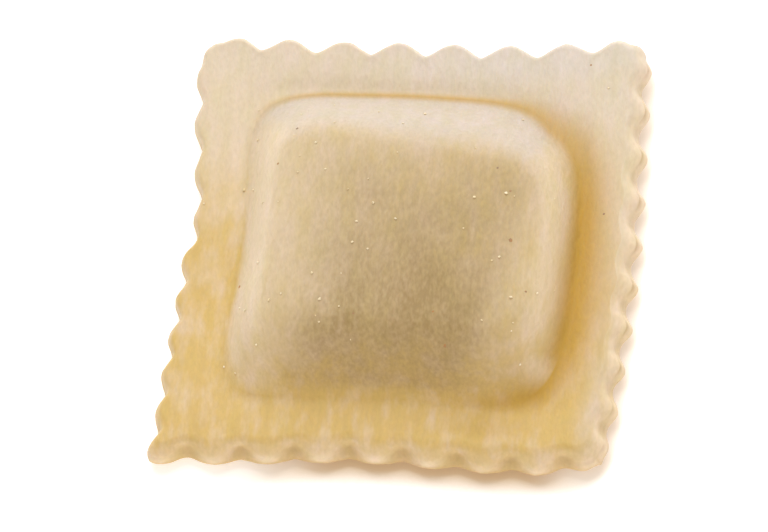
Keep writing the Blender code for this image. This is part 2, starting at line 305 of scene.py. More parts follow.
# Height of the pillow over its crease, climb being 0 at the crease and 1 at the shoulder.
def pillowHeight(u, v, climb, power, soft):
    middle = lineMiddle(creaseLine)
    nearLeft, nearRight, farRight, farLeft = creaseLine
    halfU = (nearRight[0] + farRight[0] - nearLeft[0] - farLeft[0]) / 4.0
    halfV = (farLeft[1] + farRight[1] - nearLeft[1] - nearRight[1]) / 4.0
    dome = (np.maximum(1.0 - ((u - middle[0]) / halfU) ** 2, 0.0)
            * np.maximum(1.0 - ((v - middle[1]) / halfV) ** 2, 0.0))
    wall = mixed(1.0 - (1.0 - climb) ** power, eased(climb), soft)
    return dough["pillowRise"] * wall + dough["domeRise"] * dome


def gridNormals(points, size):
    grid = points.reshape(size, size, 3)
    normals = np.cross(np.gradient(grid, axis=1), np.gradient(grid, axis=0)).reshape(-1, 3)
    return normals / np.linalg.norm(normals, axis=1, keepdims=True)


# The upper side at the given rings, as places on the sheet and heights.
def upperForm(ring, u, v):
    sheetU, sheetV, (inside, descent, rim) = spreadRings(
        ring, u, v, (shoulderLine, creaseLine, sheetLine),
        (dough["shoulderRing"], dough["creaseRing"], dough["rings"]))
    dip = sideMix(u, v, dough["creaseDip"]) * descent
    dip = dip * eased((dough["dipWidth"] - rim) / dough["dipWidth"])
    soft = sideMix(u, v, dough["softFoot"])
    height = dough["rimTop"] - dip + curlAt(sheetU, sheetV) * (rim > 0)
    power = sideMix(u, v, dough["shoulderPower"])
    pillow = pillowHeight(sheetU, sheetV, 1.0 - descent, power, soft)
    height = height + np.where(rim > 0, 0.0, pillow)
    return sheetU, sheetV, inside, descent, rim, height


# The same heights averaged over a few rings, which rounds off the crease and the shoulder.
def softHeight(ring, u, v):
    reach = dough["softening"]
    steps = np.linspace(-1.0, 1.0, dough["softSteps"])
    weights = np.exp(-(steps / dough["softMiddle"]) ** 2)
    spread = reach * np.clip((dough["rings"] - ring) / reach, 0.0, 1.0)
    heights = [upperForm(np.abs(ring + step * spread), u, v)[-1] for step in steps]
    return sum(weight * height for weight, height in zip(weights, heights)) / weights.sum()


# The upper side, with the masks that the finish reads.
def upperSide():
    ring, u, v = ringGrid(dough["rings"])
    sheetU, sheetV, inside, descent, rim, _ = upperForm(ring, u, v)
    place = placeOf(u, v)
    fade = waveFade(u, v, rim)
    wave = waveAt(place)[0] * fade * sideMix(u, v, cutEdge["upperWaves"])
    flat = onTable(sheetU, sheetV)
    flat = flat + outwardAt(place) * (wave - sideMix(u, v, cutEdge["topInset"]) * rim)[:, None]
    points = np.column_stack((flat, softHeight(ring, u, v)))

    relief = sum(unevenness(points, lump, seed) * tall
                 for seed, (lump, tall) in enumerate(dough["lumps"]))
    lump, tall, seed = dough["fillingLumps"]
    onCrown = 1.0 - eased(descent * dough["fillingReach"])
    relief = relief + unevenness(points, lump, seed) * tall * onCrown
    across, along, tall, seed = dough["grainRidge"]
    relief = relief + unevenness(points, (across, along, along), seed) * tall
    relief = relief * (1.0 - dough["smoothEdge"] * fade)
    points = points + gridNormals(points, 2 * dough["rings"] + 1) * relief[:, None]
    away = np.linalg.norm(flat - onTable(*onLine(creaseLine, u, v)), axis=1)
    return points, faceMasks(u, v, sheetU, sheetV, away, inside, descent, rim)


# Where the finish changes. All masks run from 0 to 1, and four values stand for the near,
# right, far and left sides. "Down" is how far down the pillow a point lies: 0 in the middle,
# 1 at the shoulder and 2 at the crease. A span is the start and length of a ramp.
tints = {
    "crease": (0.12, 1.00, 1.00, 0.05),    # how warm the groove is, its darker tone partly painted shade
    "creaseFade": (0.22, 0.15, 0.50),      # how much paler to the far side, and its span
    "creaseCorner": (0.45, 0.20, 0.45),    # how much warmer to the near right corner
    "creaseOut": (1.0, 3.3, 0.5, 0.8),     # its reach over the rim, in mm
    "creaseIn": (0.8, 1.4, 0.5, 0.6),      # and up the pillow
    "creaseSpread": (0.20, 0.10, 0.60),    # how much wider to the far right corner
    "goldSpot": (0.44, -0.92, 0.18, 0.20, 0.30),  # yellowest: place, widths, amount
    "goldEdge": 0.3,                       # share of the rim over which it ends
    "flour": (0.00, 0.60, 0.10, 0.90),     # flour left on the slopes of the pillow, partly painted light
    "flourDown": (1.4, 0.34, 0.33),        # how far down it lies, and its spread up and down
    "flourFar": 0.8,                       # how much less there is on the far slope
    "leftSlopeLight": (0.90, 0.50),             # painted light on the left slope, partly flour, far and near
    "leftNear": (-0.25, -0.30),            # span from the one to the other
    "leftSpans": ((-0.40, -0.18), (0.64, -0.30), (0.9, 0.5), (2.1, -0.3)),  # across, away, down twice
    "cornerFlour": (0.66, -0.58, 0.07, 0.07, 0.60),  # on the near right corner
    "thin": 0.85,                          # how whitish the far slope is, partly painted sheen
    "thinDown": (0.92, 0.50),
    "thinSooner": (0.14, 0.02, 0.28),      # how much sooner it starts, where and how wide
    "fillingFar": (0.52, -0.42),           # spans within which the filling shows
    "fillingLeft": (-0.58, 0.48),
    "fillingRight": (0.68, -0.26),
    "fillingLean": 0.28,                   # how far its right side leans out with distance
    "fillingShare": (0.18, 0.42),          # how much it shows all over the crown and within
    # Thinner spots where more of it shows: place, half widths, and how much more. The two on the near
    # slope are partly painted shade, and the last, on the far right of the crown, is painted shade.
    "fillingSpots": ((0.13, -0.36, 0.29, 0.30, 0.31), (-0.28, -0.55, 0.18, 0.18, 0.26),
                     (0.42, -0.54, 0.20, 0.18, 0.22), (0.42, 0.30, 0.20, 0.10, 0.10)),
    "fillingDown": 1.6,                    # how soon it fades down the slopes
    "fillingAndShadeNear": 0.15,                   # but how much down the near one, where it is partly painted shade
    "rimSpan": (0.75, 0.25),               # where the slopes take on the rim's colour
    "pillowEgg": (0.28, 0.46),             # how yellow the pillow is, left and right
    "footEgg": (0.85, 1.00),               # and its near foot
    "eggDown": (0.7, 1.2),
    "eggAcross": (-0.35, 0.70),
    "rimEgg": ((-0.90, 0.96), (-0.50, 0.82), (0.20, 1.00)),  # the rim's, from near to far
    "eggAway": (0.42, -0.95),              # its span towards the near side,
    "eggLean": 0.26,                       # which leans to the left
    "farSheen": (0.25, 0.85),               # painted sheen: how pale the far rim is, left and right
    "farAcross": (-0.50, 0.90),
    "farAway": (0.70, 0.25),
    # Pale right corners of the rim: how much, and the spans across and away.
    "paleCorners": ((0.40, (0.35, 0.35), (0.30, 0.45)), (0.35, (0.86, 0.14), (-0.20, -0.40))),
    "cutPale": (0.36, 0.50, 0.25, 0.30),   # how pale the cut is all over, partly pale cut dough and partly painted light
    "paleDrop": 0.5,                       # drop over which that sets in
    "crestLight": (0.72, 0.25, 0.20, 0.20),  # painted light: how much paler half way down its crests
    "crestPower": 1.4,                     # and how narrow, more being narrower
    "valleyShade": (0.45, 0.20, 0.00, 0.08),     # painted shade: how dark the valleys of the cut are half way down
    "seam": (0.00, 0.60, 0.20, 0.40),      # painted shade in the gap: how dark the seam is on the crests
    "footShade": (0.45, 0.10, 0.00, 0.05),   # and painted shade at the foot of the cut
}


def spotAt(u, v, spot):
    placeU, placeV, halfU, halfV, amount = spot
    return amount * np.exp(-((u - placeU) / halfU) ** 2 - ((v - placeV) / halfV) ** 2)


# How warm and yellow the groove round the pillow is, its darkness partly painted shade, away being
# the distance from it in mm.
def creaseMask(u, v, sheetU, sheetV, away, rim):
    outside = rim > 0
    reach = np.where(outside, sideMix(u, v, tints["creaseOut"]), sideMix(u, v, tints["creaseIn"]))
    more, *span = tints["creaseSpread"]
    reach = reach * (1.0 + more * np.maximum(v, 0.0) ** 4 * ramp(sheetU, *span))
    less, *span = tints["creaseFade"]
    warmth = sideMix(u, v, tints["crease"]) * (1.0 - less * ramp(sheetV, *span))
    more, *span = tints["creaseCorner"]
    warmth = warmth + more * np.maximum(-v, 0.0) ** 4 * ramp(sheetU, *span)
    crease = np.exp(-(away / reach) ** 2) * np.minimum(warmth, 1.0)
    gold = spotAt(sheetU, sheetV, tints["goldSpot"]) * eased((1.0 - rim) / tints["goldEdge"])
    return np.maximum(crease, gold * outside)


# Flour that has stayed on the slopes of the pillow, with painted light on the slopes, most of all the
# left one.
def flourAndLightMask(u, v, sheetU, sheetV, down):
    middle, above, below = tints["flourDown"]
    spread = np.where(down < middle, above, below)
    flour = np.exp(-((down - middle) / spread) ** 2) * sideMix(u, v, tints["flour"])
    flour = flour * (1.0 - tints["flourFar"] * np.maximum(v, 0.0) ** 4)
    left = mixed(*tints["leftSlopeLight"], ramp(sheetV, *tints["leftNear"]))
    for value, span in zip((sheetU, sheetV, down, down), tints["leftSpans"]):
        left = left * ramp(value, *span)
    return np.maximum.reduce((flour, left, spotAt(sheetU, sheetV, tints["cornerFlour"])))


# The whitish far slope, partly painted sheen.
def thinAndSheenMask(sheetU, down):
    sooner, place, spread = tints["thinSooner"]
    start, length = tints["thinDown"]
    start = start - sooner * np.exp(-((sheetU - place) / spread) ** 2)
    return tints["thin"] * ramp(down, start, length)


# The masks of the upper side's finish.
def faceMasks(u, v, sheetU, sheetV, away, inside, descent, rim):
    onPillow = rim <= 0
    down = inside + descent
    nearSide = np.maximum(-v, 0.0) ** 4
    onRim = ramp(descent, *tints["rimSpan"])
    less = tints["fillingAndShadeNear"]
    nearFillingAndShade = 1.0 - less * descent - (1.0 - less) * onRim
    otherFilling = 1.0 - eased(descent * tints["fillingDown"])
    toRight = ramp(sheetU, *tints["eggAcross"])
    egg = mixed(mixed(*tints["pillowEgg"], toRight), mixed(*tints["footEgg"], toRight),
                nearSide * ramp(down, *tints["eggDown"]))
    return {"crease": creaseMask(u, v, sheetU, sheetV, away, rim),
            "filling": fillingMask(sheetU, sheetV) * mixed(otherFilling, nearFillingAndShade, nearSide),
            "flour": flourAndLightMask(u, v, sheetU, sheetV, down) * onPillow,
            "thin": thinAndSheenMask(sheetU, down) * np.maximum(v, 0.0) ** 4 * onPillow,
            "egg": mixed(egg, eggMask(sheetU, sheetV), onRim),
            "pale": paleAndSheenMask(sheetU, sheetV) * onRim}


# Where the filling shows through the sheet: on the crown, most of all towards the near side, where
# its darkness down the near slope is partly painted shade.
def fillingMask(u, v):
    shown = ramp(v, *tints["fillingFar"]) * ramp(u, *tints["fillingLeft"])
    shown = shown * ramp(u - tints["fillingLean"] * v, *tints["fillingRight"])
    everywhere, within = tints["fillingShare"]
    return everywhere + within * shown + sum(spotAt(u, v, spot) for spot in tints["fillingSpots"])


# The rim is yellower towards the near and left edges.
def eggMask(u, v):
    share = ramp(v + tints["eggLean"] * u, *tints["eggAway"])
    return share * np.interp(v, *zip(*tints["rimEgg"]))


# It is paler along the far edge, which is painted sheen, and at the right corners.
def paleAndSheenMask(u, v):
    pale = mixed(*tints["farSheen"], ramp(u, *tints["farAcross"])) * ramp(v, *tints["farAway"])
    for amount, across, away in tints["paleCorners"]:
        pale = np.maximum(pale, amount * ramp(u, *across) * ramp(v, *away))
    return pale


# Height and inset of each row of the cut at each place round it, from the upper edge down.
def cutProfile(u, v):
    topInset = sideMix(u, v, cutEdge["topInset"])
    power = 2.0 / sideMix(u, v, cutEdge["roundness"])
    rimHeight = dough["rimTop"] - dough["rimUnder"]
    footHeight = cutEdge["foot"][0][0]
    for row in range(1, cutEdge["rows"] + 1):
        turn = math.pi / 2.0 * row / cutEdge["rows"]
        drop = max(math.cos(turn), 0.0) ** power
        yield mixed(footHeight, rimHeight, drop), topInset * (1.0 - math.sin(turn) ** power)
    for height, inset in cutEdge["foot"][1:]:
        yield np.full(len(u), height), np.full(len(u), inset)


# The slanting cut, row by row from the upper edge down.
def cutRows():
    count = dough["rings"] * 8
    place = np.arange(count) * 4.0 / count
    u, v = squarePoints(place)
    sheetU, sheetV = onLine(sheetLine, u, v)
    flat = onTable(sheetU, sheetV)
    wave, crest = waveAt(place)
    size, tall, seed = cutEdge["rough"]
    middle, spread = cutEdge["halfDown"]
    gape = sideMix(u, v, cutEdge["seamGape"]) * crest ** 2
    upperWaves = sideMix(u, v, cutEdge["upperWaves"])
    valleyFill = sideMix(u, v, cutEdge["valleyFill"]) * (1.0 - crest)
    paleness, crestLit, seamShade, valleyShade, foot = [
        sideMix(u, v, tints[key]) for key in ("cutPale", "crestLight", "seam", "valleyShade", "footShade")]
    crestLit = crestLit * crest ** tints["crestPower"]
    seamShade = seamShade * crest ** 2
    valleyShade = valleyShade * (1.0 - crest) ** 2
    gold = spotAt(sheetU, sheetV, tints["goldSpot"])
    rimHeight = dough["rimTop"] - dough["rimUnder"]
    rows = []
    cutShades = []
    facets = []
    for height, inset in cutProfile(u, v):
        drop = rimHeight - height
        seam = np.exp(-((height - cutEdge["seamHeight"]) / cutEdge["seamWidth"]) ** 2)
        waves = wave * mixed(upperWaves, 1.0, eased(drop / cutEdge["upperReach"]))
        waves = waves + valleyFill * eased(1.0 - height / cutEdge["fillHeight"])
        level = dough["rimUnder"] + height
        rough = unevenness(np.column_stack((flat, level)), size, seed) * tall
        row = flat + outwards * (waves - inset - seam * gape + rough)[:, None]
        rows.append(np.column_stack((row, level + curlAt(sheetU, sheetV))))
        halfDown = np.exp(-((height - middle) / spread) ** 2)
        low = foot * math.exp(-(np.mean(height) / cutEdge["footSpread"]) ** 2)
        # Painted shade in the seam's gap on the crests, half way down the valleys, and at the foot.
        cutShades.append(np.maximum.reduce((seam * seamShade, valleyShade * halfDown, low)))
        # Pale facets: pale cut dough, with painted light on the crests.
        facet = paleness * eased(drop / tints["paleDrop"]) + crestLit * halfDown
        facets.append(facet * (1.0 - gold))
    masks = {"egg": np.tile(eggMask(sheetU, sheetV), len(rows)),
             "pale": np.tile(paleAndSheenMask(sheetU, sheetV), len(rows)),
             "facet": np.concatenate(facets), "seam": np.concatenate(cutShades)}
    return np.vstack(rows), masks


def underSide():
    rings = dough["backRings"]
    ring, u, v = ringGrid(rings)
    sheetU, sheetV, (_, descent, rim) = spreadRings(
        ring, u, v, (backFoot, backEdge, sheetLine),
        (dough["backFootRing"], dough["backEdgeRing"], rings))
    place = placeOf(u, v)
    wave, crest = waveAt(place)
    wave = wave + sideMix(u, v, cutEdge["valleyFill"]) * (1.0 - crest)
    offset = wave * waveFade(u, v, rim) - cutEdge["backInset"] * rim
    flat = onTable(sheetU, sheetV) + outwardAt(place) * offset[:, None]
    height = dough["rimUnder"] * eased(descent) + curlAt(sheetU, sheetV) * rim
    masks = {"egg": eggMask(sheetU, sheetV), "pale": paleAndSheenMask(sheetU, sheetV)}
    return np.column_stack((flat, height)), masks


# Grid points round the outermost ring, from the near left corner anticlockwise.
def outerRing(rings):
    size = 2 * rings + 1
    near = list(range(size - 1))
    right = [row * size + size - 1 for row in range(size - 1)]
    far = [(size - 1) * size + column for column in range(size - 1, 0, -1)]
    left = [row * size for row in range(size - 1, 0, -1)]
    return near + right + far + left


def gridFaces(rings, start, facingUp):
    size = 2 * rings + 1
    faces = []
    for row in range(size - 1):
        for column in range(size - 1):
            corner = start + row * size + column
            face = (corner, corner + 1, corner + size + 1, corner + size)
            faces.append(face if facingUp else face[::-1])
    return faces


# Writes each part's masks as one layer over the whole mesh, 0 where a part has none.
def addMasks(mesh, parts):
    for name in sorted({name for _, masks in parts for name in masks}):
        values = [masks.get(name, np.zeros(len(points))) for points, masks in parts]
        layer = mesh.attributes.new(name, "FLOAT", "POINT")
        layer.data.foreach_set("value", np.clip(np.concatenate(values), 0, 1).astype(np.float32))


def ravioliMesh():
    parts = [upperSide(), cutRows(), underSide()]
    upper, rows, under = [points for points, _ in parts]
    count = dough["rings"] * 8
    points = np.vstack((upper, rows, under))
    middle = (points.max(axis=0) + points.min(axis=0)) / 2.0
    points[:, 0] += (low.x + high.x) / 2.0 / mm - middle[0]
    points[:, 1] += (low.y + high.y) / 2.0 / mm - middle[1]

    underStart = len(upper) + len(rows)
    loops = [outerRing(dough["rings"])]
    for start in range(len(upper), underStart, count):
        loops.append(list(range(start, start + count)))
    underLoop = [underStart + index for index in outerRing(dough["backRings"])]

    top = gridFaces(dough["rings"], 0, True)
    cut = []
    for above, below in zip(loops, loops[1:]):
        for index in range(count):
            after = (index + 1) % count
            cut.append((below[index], below[after], above[after], above[index]))
    last = loops[-1]
    for index, inner in enumerate(underLoop):
        nextInner = underLoop[(index + 1) % len(underLoop)]
        start, half, end = last[2 * index], last[2 * index + 1], last[(2 * index + 2) % count]
        cut += [(inner, half, start), (inner, nextInner, half), (nextInner, end, half)]
    back = gridFaces(dough["backRings"], underStart, False)

    mesh = bpy.data.meshes.new("ravioliDough")
    mesh.from_pydata((points * mm).tolist(), [], top + cut + back)
    kinds = [0] * len(top) + [1] * len(cut) + [2] * len(back)
    mesh.polygons.foreach_set("material_index", kinds)
    mesh.polygons.foreach_set("use_smooth", [True] * len(kinds))
    addMasks(mesh, parts)
    mesh.update()
    return mesh


# Sets the inputs of a node, or links those whose value another node gives.
def feed(tree, node, inputs):
    for label, value in inputs.items():
        if isinstance(value, bpy.types.NodeSocket):
            tree.links.new(value, node.inputs[label])
        else:
            node.inputs[label].default_value = value


def addNode(tree, kind, inputs=(), **settings):
    node = tree.nodes.new(kind)
    for name, value in settings.items():
        setattr(node, name, value)
    feed(tree, node, dict(inputs))
    return node


def colour(red, green, blue):
    def linear(value):
        value = value / 255.0
        return value / 12.92 if value <= 0.04045 else ((value + 0.055) / 1.055) ** 2.4
    return (linear(red), linear(green), linear(blue), 1.0)


# A node group. Each input comes with its default, which is a tuple for a colour.
def newGroup(name, inputs, outputs):
    group = bpy.data.node_groups.new(name, "ShaderNodeTree")
    for label, value in inputs.items():
        kind = "NodeSocketColor" if isinstance(value, tuple) else "NodeSocketFloat"
        socket = group.interface.new_socket(name=label, in_out="INPUT", socket_type=kind)
        socket.default_value = value
    for label in outputs:
        kind = "NodeSocketColor" if label == "Color" else "NodeSocketFloat"
        group.interface.new_socket(name=label, in_out="OUTPUT", socket_type=kind)
    return group, addNode(group, "NodeGroupInput").outputs, addNode(group, "NodeGroupOutput")


def placeGroup(tree, group, inputs):
    return addNode(tree, "ShaderNodeGroup", inputs, node_tree=group).outputs


def mixColours(tree, mask, first, second, blend="MIX"):
    inputs = {0: mask, 6: first, 7: second}
    return addNode(tree, "ShaderNodeMix", inputs, data_type="RGBA", blend_type=blend).outputs[2]


def arithmetic(tree, operation, *values):
    return addNode(tree, "ShaderNodeMath", enumerate(values), operation=operation).outputs[0]


# A size in mm as the scale of a texture.
def scaleOf(tree, size):
    return arithmetic(tree, "DIVIDE", 1.0 / mm, size)


def maskNode(tree, name):
    return addNode(tree, "ShaderNodeAttribute", attribute_name=name).outputs["Fac"]


def newMaterial(name):
    material = bpy.data.materials.new(name)
    material.use_nodes = True
    return material, material.node_tree, material.node_tree.nodes["Principled BSDF"]


def addObject(name, data):
    thing = bpy.data.objects.new(name, data)
    scene.collection.objects.link(thing)
    return thing


# Colours of the dough in plain daylight; some also stand for painted light, sheen and shade, as
# noted.
doughFinish = {
    "cream": colour(214, 194, 164),
    "yolk": colour(206, 173, 106),
    # White is the tone of the pale right corners and of the painted sheen on the far rim.
    "white": colour(211, 198, 182),
    # The flour tone is flour dust on the back, and partly painted light on the pillow's slopes.
    "flour": colour(224, 203, 172),
    # The thin tone whitens the far slope, partly as painted sheen.
    "thin": colour(196, 181, 164),
    # The crease tone is warm dough, its darkness partly painted shade in the groove.
    "crease": colour(184, 142, 52),
    # The filling tone also stands for painted shade down the near slope.
    "filling": colour(162, 135, 88),
    # The facet tone is pale cut dough, and partly painted light on the lobes.
    "facet": colour(228, 205, 172),
    # The seam tone is painted shade in the seam, the valleys and the foot of the cut.
    "seam": colour(178, 144, 92),
    "patchesEgg": 0.45,      # how much yellower some patches are
    "blotchesEgg": 0.80,     # and some blotches
    # Darkest and lightest tint of each kind of unevenness.
    "streaks": ((0.970, 0.965, 0.955, 1.0), (1.020, 1.025, 1.035, 1.0)),
    "blotches": ((0.972, 0.982, 0.905, 1.0), (1.030, 1.012, 1.075, 1.0)),
    "flecks": ((0.955, 0.950, 0.935, 1.0), (1.035, 1.040, 1.050, 1.0)),
    "roughness": (0.55, 0.78),
    "specular": 0.35,
    "bump": 0.025,           # height of the finest relief, in mm
    "glow": 0.20,            # share of light that sinks into the dough
    "glowDepth": 0.8,        # and how deep, in mm
    "glowColour": (1.0, 0.62, 0.35),
    # Sizes of the unevenness, in mm, on the upper side and the cut, and on the back.
    "mottle": {"Patch Size": 3.5, "Blotch Size": 1.4, "Fleck Size": 0.36},
    "grain": {"Width": 0.8, "Length": 7.0, "Contrast": 2.2},
    "backMottle": {"Patch Size": 4.0, "Blotch Size": 1.4, "Fleck Size": 0.50},
    "backGrain": {"Width": 0.5, "Length": 6.0, "Contrast": 2.0},
    "backDust": {"Grain Size": 0.25, "Amount": 0.36},
    "cloudy": (0.98, 0.30, -0.26),           # filling shown: all over, in patches, in flecks
    "mottleTurn": -6.0,      # degrees that the mottle is turned from the rolling direction
}


# Long fine ridges that the rollers leave in the sheet, running away from the near edge.
def makeRolledGrain():
    group, given, result = newGroup(
        "rolledGrain", {"Width": 0.3, "Length": 3.0, "Contrast": 1.0}, ("Tone", "Height"))
    where = addNode(group, "ShaderNodeTexCoord").outputs["Object"]
    across, along = [scaleOf(group, given[label]) for label in ("Width", "Length")]
    scale = addNode(group, "ShaderNodeCombineXYZ", enumerate((across, along, along)))
    spread = addNode(group, "ShaderNodeVectorMath", {0: where, 1: scale.outputs[0]},
                     operation="MULTIPLY")
    grain = addNode(group, "ShaderNodeTexNoise", {
        "Vector": spread.outputs[0], "Scale": 1.0, "Detail": 3.0, "Roughness": 0.62}).outputs[0]
    tone = arithmetic(group, "SUBTRACT", grain, 0.5)
    tone = arithmetic(group, "MULTIPLY", tone, given["Contrast"])
    tone = arithmetic(group, "ADD", tone, 0.5)
    tone.node.use_clamp = True
    feed(group, result, {"Tone": tone, "Height": grain})
    return group


# Unevenness of the dough's colour: wide cloudy patches, blotches drawn out along the rolling
# direction, and small flecks.
def makeDoughMottle():
    group, given, result = newGroup(
        "doughMottle", {"Patch Size": 3.0, "Blotch Size": 1.3, "Fleck Size": 0.4},
        ("Patches", "Blotches", "Flecks"))
    where = addNode(group, "ShaderNodeTexCoord").outputs["Object"]
    turn = (0.0, 0.0, math.radians(doughFinish["mottleTurn"]))
    # Each cloud: its size, detail, output, and how much it is drawn out, less being longer.
    clouds = (("Patch Size", 3.0, "Patches", 1.0), ("Blotch Size", 3.0, "Blotches", 0.33),
              ("Fleck Size", 1.5, "Flecks", 0.50))
    for size, detail, output, drawn in clouds:
        drawnOut = addNode(group, "ShaderNodeMapping", {
            "Vector": where, "Rotation": turn, "Scale": (1.0, drawn, 1.0)})
        cloud = addNode(group, "ShaderNodeTexNoise", {
            "Vector": drawnOut.outputs[0], "Scale": scaleOf(group, given[size]),
            "Detail": detail, "Roughness": 0.55})
        spread = addNode(group, "ShaderNodeMapRange", {
            "Value": cloud.outputs[0], "From Min": 0.30, "From Max": 0.70})
        feed(group, result, {output: spread.outputs[0]})
    return group


# Flour dust: tiny pale grains, thick or thin as Amount says.
def makeFlourDust():
    group, given, result = newGroup("flourDust", {"Grain Size": 0.18, "Amount": 0.3}, ("Mask",))
    where = addNode(group, "ShaderNodeTexCoord").outputs["Object"]
    dust = addNode(group, "ShaderNodeTexNoise", {
        "Vector": where, "Scale": scaleOf(group, given["Grain Size"]), "Detail": 2.0})
    least = arithmetic(group, "SUBTRACT", 0.85, given["Amount"])
    step = addNode(group, "ShaderNodeMapRange", {
        "Value": dust.outputs[0], "From Min": least, "From Max": 0.95},
        interpolation_type="SMOOTHSTEP")
    feed(group, result, {"Mask": step.outputs[0]})
    return group


# The dough's colour: cream, yellower with Egg, whiter with Pale, which is partly painted sheen, and
# uneven.
def makeDoughColour():
    inputs = {name.capitalize(): doughFinish[name] for name in ("cream", "yolk", "white")}
    inputs.update({"Egg": 0.5, "Pale": 0.0, "Patches": 0.5, "Blotches": 0.5})
    group, given, result = newGroup("doughColour", inputs, ("Color",))
    egg = given["Egg"]
    for label in ("Patches", "Blotches"):
        share = arithmetic(group, "SUBTRACT", 0.5, given[label])
        share = arithmetic(group, "MULTIPLY", share, doughFinish[label.lower() + "Egg"])
        egg = arithmetic(group, "MULTIPLY_ADD", egg, share, egg)
    tone = mixColours(group, egg, given["Cream"], given["Yolk"])
    tone = mixColours(group, given["Pale"], tone, given["White"])
    feed(group, result, {"Color": tone})
    return group


# Tints a colour with the streaks, blotches and flecks that run over all of the dough.
def makeDoughTint():
    kinds = ("Streaks", "Blotches", "Flecks")
    inputs = {"Color": doughFinish["cream"], **{label: 0.5 for label in kinds}}
    group, given, result = newGroup("doughTint", inputs, ("Color",))
    tone = given["Color"]
    for label in kinds:
        tint = mixColours(group, given[label], *doughFinish[label.lower()])
        tone = mixColours(group, 1.0, tone, tint, blend="MULTIPLY")
    feed(group, result, {"Color": tone})
    return group


rolledGrain = makeRolledGrain()
doughMottle = makeDoughMottle()
flourDust = makeFlourDust()
doughColour = makeDoughColour()
doughTint = makeDoughTint()


# A dough material with its plain colour, and the unevenness to finish it with.
def newDough(name, mottle, grain):
    material, tree, shader = newMaterial(name)
    feed(tree, shader, {"Subsurface Weight": doughFinish["glow"],
                        "Subsurface Radius": doughFinish["glowColour"],
                        "Subsurface Scale": doughFinish["glowDepth"] * mm,
                        "Specular IOR Level": doughFinish["specular"]})
    mottle = placeGroup(tree, doughMottle, doughFinish[mottle])
    grain = placeGroup(tree, rolledGrain, doughFinish[grain])
    tone = placeGroup(tree, doughColour, {
        "Egg": maskNode(tree, "egg"), "Pale": maskNode(tree, "pale"),
        "Patches": mottle["Patches"], "Blotches": mottle["Blotches"]})["Color"]
    return material, tree, mottle, grain, tone


# Links the colour, uneven roughness and fine relief, in mm, to a material's shader.
def finish(tree, tone, flecks, height, roughness, relief):
    least, most = roughness
    rough = addNode(tree, "ShaderNodeMapRange", {"Value": flecks, "To Min": least, "To Max": most})
    bump = addNode(tree, "ShaderNodeBump", {"Height": height, "Distance": relief * mm})
    feed(tree, tree.nodes["Principled BSDF"], {
        "Base Color": tone, "Roughness": rough.outputs[0], "Normal": bump.outputs[0]})


def finishDough(tree, mottle, grain, tone, height):
    tone = placeGroup(tree, doughTint, {
        "Color": tone, "Streaks": grain["Tone"],
        "Blotches": mottle["Blotches"], "Flecks": mottle["Flecks"]})["Color"]
    finish(tree, tone, mottle["Flecks"], height, doughFinish["roughness"], doughFinish["bump"])


def faceMaterial():
    material, tree, mottle, grain, tone = newDough("doughFace", "mottle", "grain")
    allOver, inPatches, inFlecks = doughFinish["cloudy"]
    cloudy = arithmetic(tree, "MULTIPLY_ADD", mottle["Patches"], inPatches, allOver)
    cloudy = arithmetic(tree, "MULTIPLY_ADD", mottle["Flecks"], inFlecks, cloudy)
    filling = arithmetic(tree, "MULTIPLY", maskNode(tree, "filling"), cloudy)
    tone = mixColours(tree, filling, tone, doughFinish["filling"])
    # The thin, crease and flour tones are partly painted sheen, shade and light.
    for name in ("thin", "crease", "flour"):
        tone = mixColours(tree, maskNode(tree, name), tone, doughFinish[name])
    height = arithmetic(tree, "MULTIPLY_ADD", grain["Height"], 0.5, mottle["Flecks"])
    finishDough(tree, mottle, grain, tone, height)
    return material


def cutMaterial():
    material, tree, mottle, grain, tone = newDough("doughCut", "mottle", "grain")
    for name in ("facet", "seam"):
        tone = mixColours(tree, maskNode(tree, name), tone, doughFinish[name])
    finishDough(tree, mottle, grain, tone, mottle["Flecks"])
    return material


def backMaterial():
    material, tree, mottle, grain, tone = newDough("doughBack", "backMottle", "backGrain")
    dust = placeGroup(tree, flourDust, doughFinish["backDust"])["Mask"]
    tone = mixColours(tree, dust, tone, doughFinish["flour"])
    finishDough(tree, mottle, grain, tone, grain["Height"])
    return material


def makeRavioli():
    mesh = ravioliMesh()
    piece = addObject("ravioliDough", mesh)
    for material in (faceMaterial(), cutMaterial(), backMaterial()):
        mesh.materials.append(material)
    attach(piece, "root")
    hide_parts("ravioli")
    return piece


# Grains of semolina left on the sheet, and flecks of bran in it.
semolina = {
    "count": 58,
    "size": (0.14, 0.30),    # full width, in mm
    "flatness": (0.55, 0.90),
    "sunk": 0.20,            # share of its height that lies in the dough
    "onPillow": 0.72,        # share that lies on the pillow
    "seed": 11,
    "tones": (colour(240, 226, 196), colour(228, 204, 150)),  # they vary between the two
    "roughness": (0.35, 0.60),
}
bran = {
    "count": 12,
    "size": (0.22, 0.45),
    "flatness": (0.20, 0.35),
    "sunk": 0.60,
    "onPillow": 0.35,
    "seed": 4,
    "tones": (colour(196, 132, 62), colour(138, 118, 96)),
    "roughness": (0.60, 0.85),
}
grainShape = {
    "stretch": (0.75, 1.35), # length as a share of the width
    "dent": 0.22,            # how far the corners stand in or out
    "pillow": 0.70,          # the pillow's share of the width
    "mottle": {"Patch Size": 1.5, "Blotch Size": 0.5, "Fleck Size": 0.08},
    "bump": 0.01,            # height of their own relief, in mm
}


